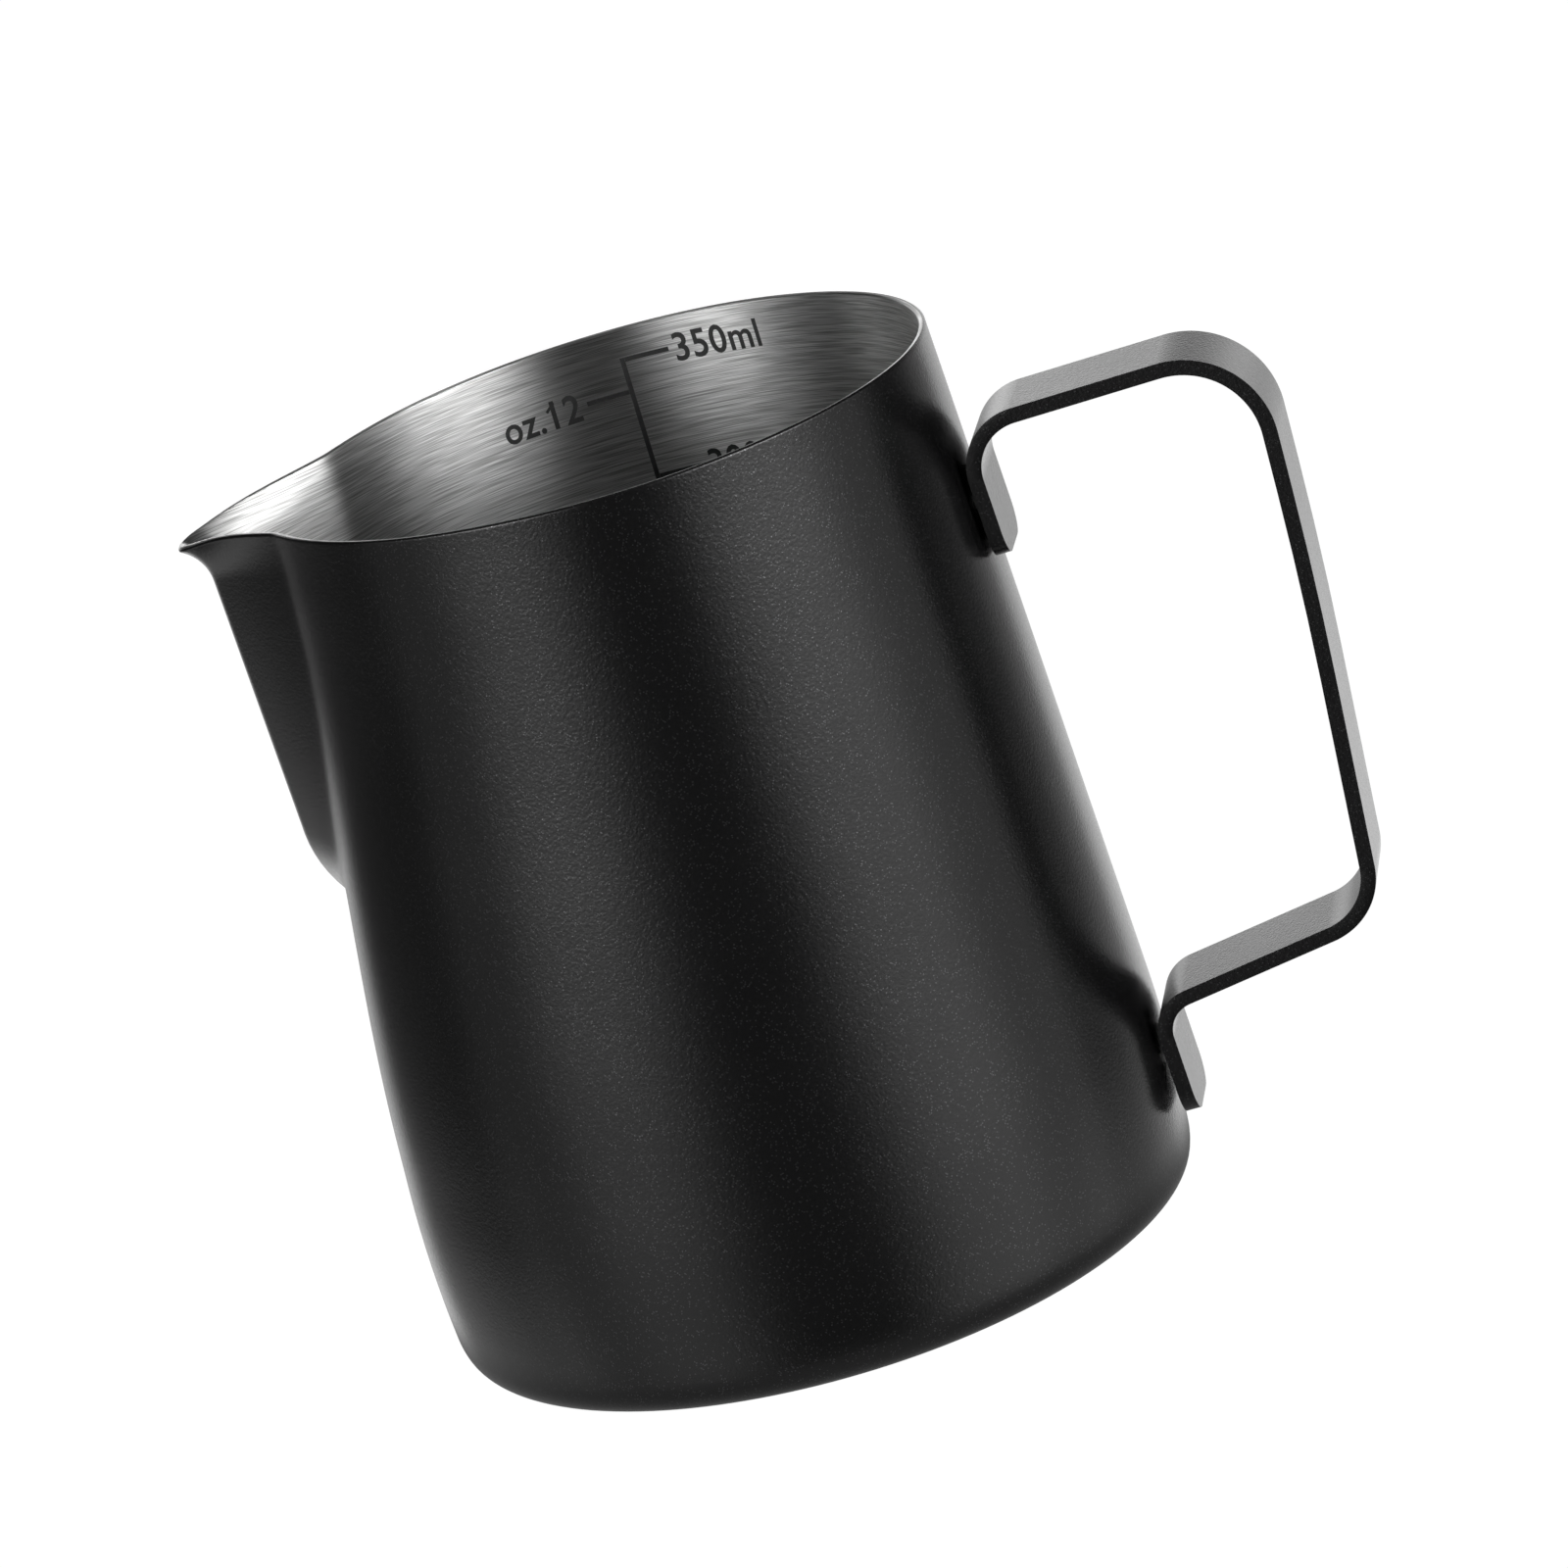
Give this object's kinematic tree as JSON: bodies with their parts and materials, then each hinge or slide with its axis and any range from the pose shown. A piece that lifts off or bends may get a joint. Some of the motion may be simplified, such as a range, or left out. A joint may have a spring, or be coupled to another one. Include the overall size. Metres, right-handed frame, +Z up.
{
  "type": "milk frothing pitcher",
  "caption": "Small deep drawn steel pitcher with a pressed pouring spout and a welded strap handle, coated black outside and bare steel inside.",
  "frame": {"origin": "centre of the flat base, on the surface the pitcher stands on", "axes": "+Z up, -X towards the tip of the spout, +X towards the handle; the XZ plane is the plane of symmetry"},
  "size_m": [0.1085, 0.077, 0.09],
  "materials": {
    "black_coating": "satin black non-stick coating over stainless steel sheet; the vessel's inside and the cut edge of its rim are bare brushed steel",
    "bare_steel": "plain stainless steel of the spot welds"
  },
  "bodies": {
    "root": {"vessel_shell": "black_coating", "handle_strap": "black_coating", "upper_weld_high": "bare_steel", "upper_weld_low": "bare_steel", "lower_weld_high": "bare_steel", "lower_weld_low": "bare_steel"}
  },
  "joints": []
}
